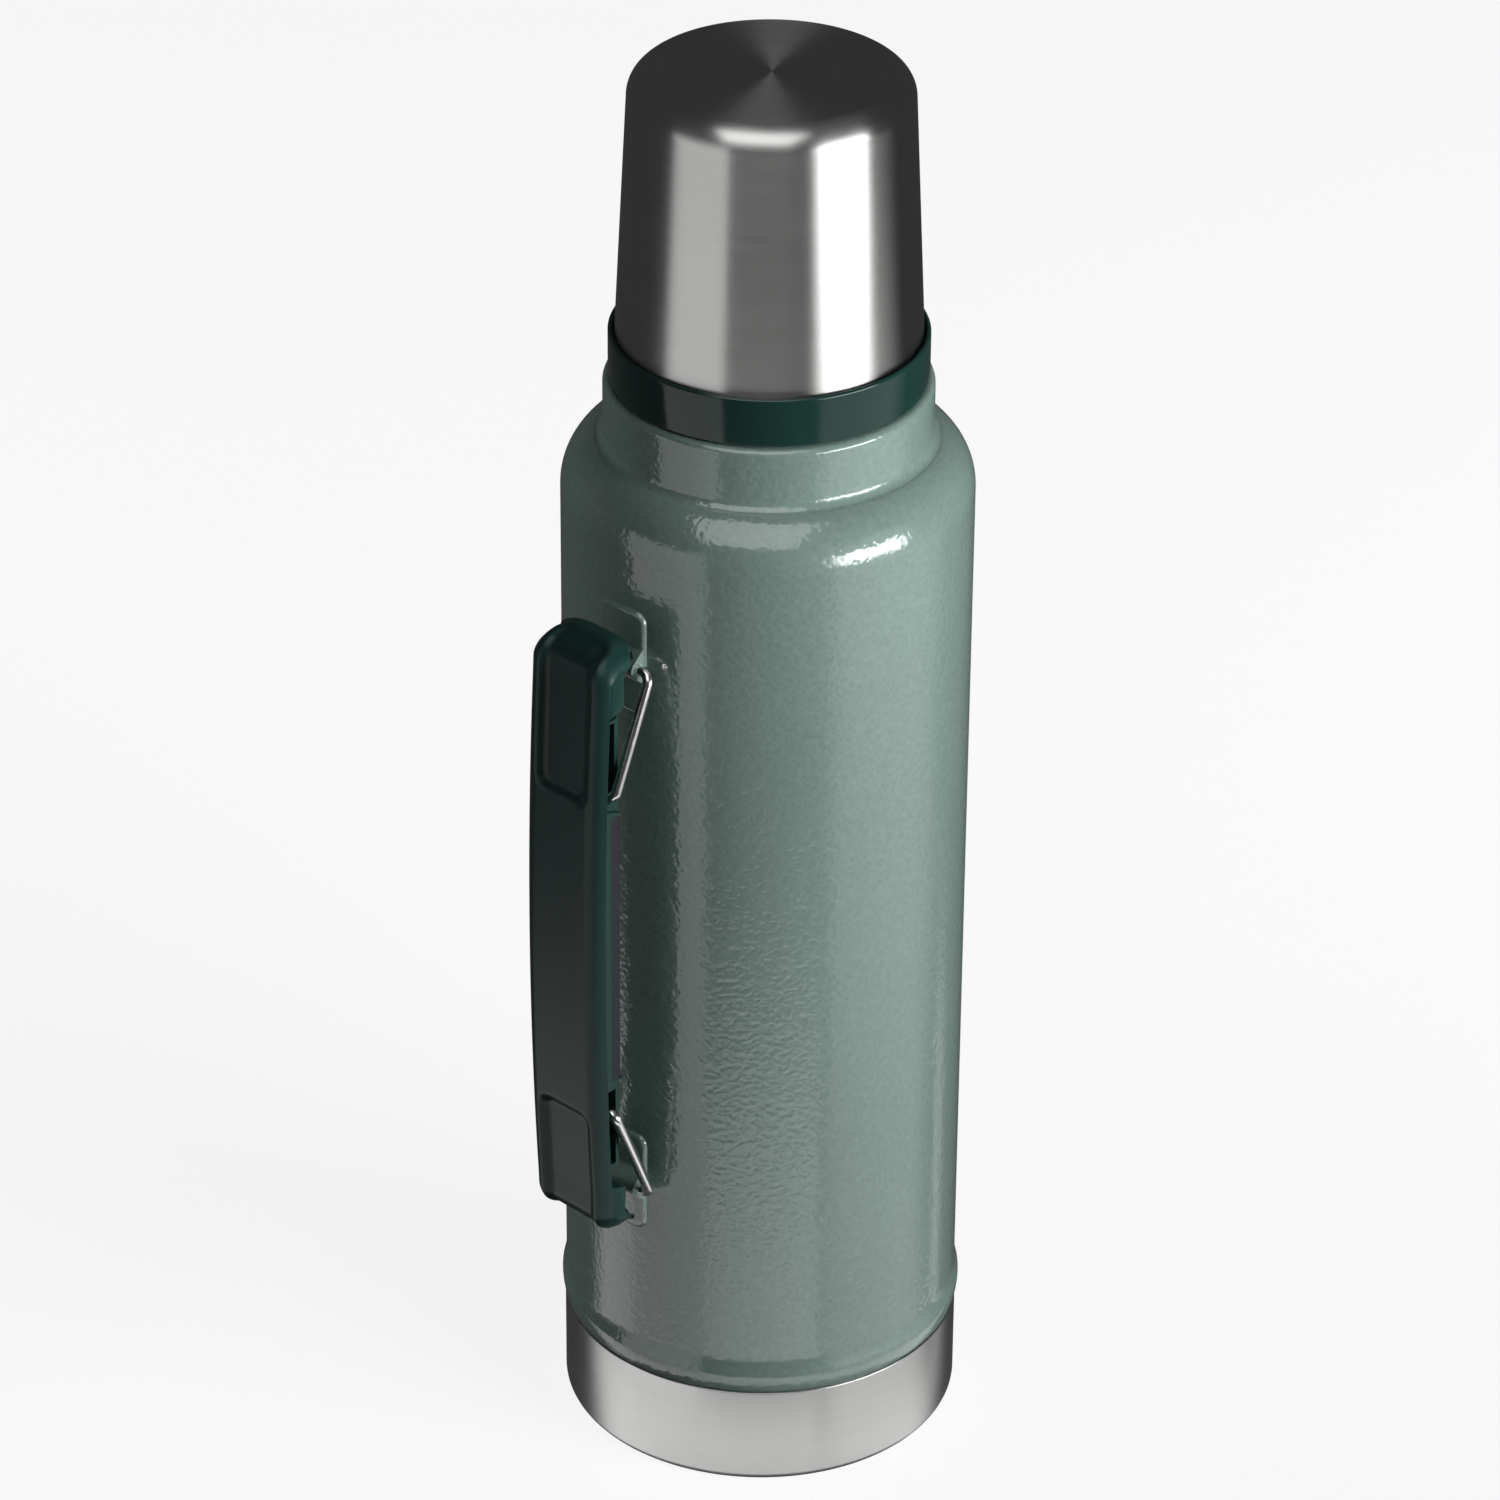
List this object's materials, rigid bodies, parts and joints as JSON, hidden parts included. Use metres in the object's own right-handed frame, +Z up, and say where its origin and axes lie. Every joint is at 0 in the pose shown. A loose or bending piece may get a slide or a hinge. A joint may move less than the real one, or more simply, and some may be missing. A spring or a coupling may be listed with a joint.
{
  "type": "vacuum flask",
  "caption": "Tall steel vacuum flask with a painted body, a bare steel base, a screw-on drinking cup, a threaded stopper and a side carrying handle held by wire bails.",
  "frame": {"origin": "centre of the flat underside of the steel base, on the surface that the flask stands on", "axes": "+Z up along the flask's axis, handle towards -X, so the X-Z plane is the handle's plane"},
  "size_m": [0.1218, 0.1008, 0.365],
  "materials": {
    "hammer_paint": "hammer-finish enamel, glossy",
    "brushed_steel": "circumferentially brushed",
    "plain_steel": "electropolished, satin",
    "bail_wire": "polished wire",
    "foil": "bright foil",
    "getter_metal": "sintered pill",
    "solder": "dull solder",
    "collar_plastic": "glossy dark green",
    "handle_plastic": "satin dark green",
    "liner_plastic": "satin near-black green",
    "grip_rubber": "fine matte",
    "silicone": "translucent white",
    "foam": "closed-cell foam"
  },
  "bodies": {
    "root": {"outer_shell": "hammer_paint", "outer_bottom": "plain_steel", "inner_flask": "plain_steel", "inner_bottom": "plain_steel", "radiation_foil": "foil", "getter": "getter_metal", "vacuum_seal": "solder", "base_cup": "brushed_steel", "bracket_upper": "hammer_paint", "bracket_lower": "hammer_paint"},
    "handle": {"handle_shell": "handle_plastic", "handle_insert": "handle_plastic", "handle_grip": "grip_rubber"},
    "upper_bail": {"bail_upper": "bail_wire"},
    "lower_bail": {"bail_lower": "bail_wire"},
    "seal": {"stopper_seal": "silicone"},
    "stopper": {"stopper_body": "liner_plastic", "stopper_base": "liner_plastic", "stopper_foam": "foam", "stopper_cap": "handle_plastic"},
    "gasket": {"cup_gasket": "silicone"},
    "cup": {"cup_shell": "brushed_steel", "cup_liner": "liner_plastic", "cup_collar": "collar_plastic"}
  },
  "joints": [
    {"name": "cup_lift", "type": "slide", "parent": "root", "child": "gasket", "axis": [0, 0, 1], "range_m": [0, 0.08]},
    {"name": "cup_turn", "type": "hinge", "parent": "gasket", "child": "cup", "pos_m": [0, 0, 0.2935], "axis": [0, 0, 1], "range_deg": [0, 540]},
    {"name": "stopper_rise", "type": "slide", "parent": "root", "child": "seal", "axis": [0, 0, 1], "range_m": [0, 0.0316]},
    {"name": "stopper_turn", "type": "hinge", "parent": "seal", "child": "stopper", "pos_m": [0, 0, 0.2935], "axis": [0, 0, 1], "range_deg": [0, 2520]},
    {"name": "handle_pull", "type": "slide", "parent": "root", "child": "handle", "axis": [-1, 0, 0], "range_m": [0, 0.0149]},
    {"name": "upper_bail_swing", "type": "hinge", "parent": "root", "child": "upper_bail", "pos_m": [-0.0515, 0, 0.2307], "axis": [0, 1, 0], "range_deg": [0, 36.8]},
    {"name": "lower_bail_swing", "type": "hinge", "parent": "root", "child": "lower_bail", "pos_m": [-0.0515, 0, 0.0838], "axis": [0, 1, 0], "range_deg": [-36.8, 0]}
  ],
  "couplings": [
    {"joint": "stopper_rise", "follows": "stopper_turn", "m_per_rad": 0.0007162},
    {"joint": "upper_bail_swing", "follows": "handle_pull", "rad_per_m": 43.019},
    {"joint": "lower_bail_swing", "follows": "handle_pull", "rad_per_m": -43.019}
  ]
}
